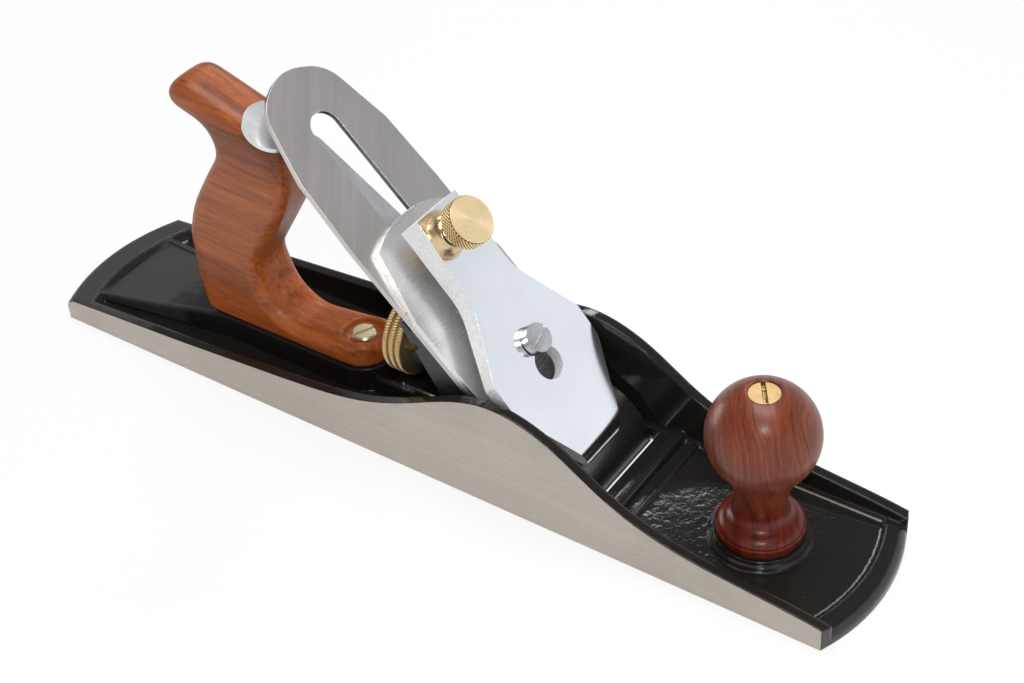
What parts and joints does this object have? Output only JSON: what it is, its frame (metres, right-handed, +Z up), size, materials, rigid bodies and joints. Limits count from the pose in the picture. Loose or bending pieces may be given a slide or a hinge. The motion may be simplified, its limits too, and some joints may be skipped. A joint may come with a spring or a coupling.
{
  "type": "jack plane",
  "caption": "Metal bench plane of jack size with a curved rear handle, round front knob, bedded iron, screw-down cap, depth wheel, lateral lever and adjustable frog.",
  "frame": {"origin": "middle of the sole, under the whole plane", "axes": "+X towards the toe, +Z up from the sole, +Y to the far side wall"},
  "size_m": [0.355, 0.064, 0.1317],
  "materials": {
    "ground_iron": "ground sides and sole, black enamel inside",
    "enamelled_iron": "dark enamel, machined bed",
    "steel_screws": "satin",
    "steel_washers": "satin",
    "steel_adjusting_screw": "satin",
    "steel_plate": "satin",
    "steel_plate_screw": "satin",
    "blade_steel": "brushed along its width",
    "breaker_steel": "bright ground",
    "steel_breaker_screw": "satin",
    "plated_cap": "polished plating",
    "brass_cap_screw": "turned",
    "brass_thumb_screw": "turned, knurled rim",
    "yoke_steel": "dark",
    "pin_steel": "satin",
    "stud_steel": "threaded",
    "brass_wheel": "turned, knurled bands",
    "lever_steel": "satin",
    "pivot_steel": "satin",
    "disc_steel": "satin",
    "knob_wood": "lacquered hardwood",
    "knob_rod_steel": "threaded",
    "brass_knob_nut": "turned",
    "tote_wood": "lacquered hardwood",
    "tote_rod_steel": "threaded",
    "brass_tote_nut": "turned",
    "brass_toe_screw": "turned"
  },
  "bodies": {
    "casting": {"body": "ground_iron", "frog_screws": "steel_screws", "frog_washers": "steel_washers", "knob": "knob_wood", "knob_rod": "knob_rod_steel", "knob_nut": "brass_knob_nut", "tote": "tote_wood", "tote_rod": "tote_rod_steel", "tote_nut": "brass_tote_nut", "tote_toe_screw": "brass_toe_screw"},
    "frog_unit": {"frog": "enamelled_iron", "frog_adjusting_plate": "steel_plate", "frog_plate_screw": "steel_plate_screw", "lever_cap_screw": "brass_cap_screw", "yoke_pin": "pin_steel", "adjuster_stud": "stud_steel", "lateral_pin": "pivot_steel"},
    "frog_screw": {"frog_adjusting_screw": "steel_adjusting_screw"},
    "cutter": {"blade": "blade_steel", "chipbreaker": "breaker_steel", "chipbreaker_screw": "steel_breaker_screw"},
    "cap": {"lever_cap": "plated_cap"},
    "thumb": {"thumb_screw": "brass_thumb_screw"},
    "yoke": {"depth_yoke": "yoke_steel"},
    "wheel": {"depth_wheel": "brass_wheel"},
    "lateral": {"lateral_lever": "lever_steel", "lateral_disc": "disc_steel"}
  },
  "joints": [
    {"name": "frog_slide", "type": "slide", "parent": "casting", "child": "frog_unit", "axis": [1, 0, 0], "range_m": [0, 0.0015]},
    {"name": "frog_screw_turn", "type": "hinge", "parent": "frog_unit", "child": "frog_screw", "pos_m": [0.0155, 0, 0.0094], "axis": [1, 0, 0], "range_deg": [0, 540]},
    {"name": "cutter_depth", "type": "slide", "parent": "frog_unit", "child": "cutter", "axis": [0.7071, 0, -0.7071], "range_m": [-0.003, 0.0008]},
    {"name": "yoke_rock", "type": "hinge", "parent": "frog_unit", "child": "yoke", "pos_m": [0.00604, 0, 0.05303], "axis": [0, 1, 0], "range_deg": [-17.6, 4.8]},
    {"name": "wheel_travel", "type": "slide", "parent": "frog_unit", "child": "wheel", "axis": [1, 0, 0], "range_m": [-0.0016, 0.0058]},
    {"name": "cap_slide", "type": "slide", "parent": "frog_unit", "child": "cap", "axis": [-0.7071, 0, 0.7071], "range_m": [0, 0.0095]},
    {"name": "thumb_turn", "type": "hinge", "parent": "cap", "child": "thumb", "pos_m": [0.01028, 0, 0.0898], "axis": [0.7071, 0, 0.7071], "range_deg": [0, 720]},
    {"name": "lateral_swing", "type": "hinge", "parent": "frog_unit", "child": "lateral", "pos_m": [-0.00386, 0, 0.07142], "axis": [0.7071, 0, 0.7071], "range_deg": [-24, 5]}
  ],
  "couplings": [
    {"joint": "frog_screw_turn", "follows": "frog_slide", "rad_per_m": 6283},
    {"joint": "yoke_rock", "follows": "cutter_depth", "rad_per_m": 101},
    {"joint": "wheel_travel", "follows": "cutter_depth", "ratio": -1.889}
  ]
}
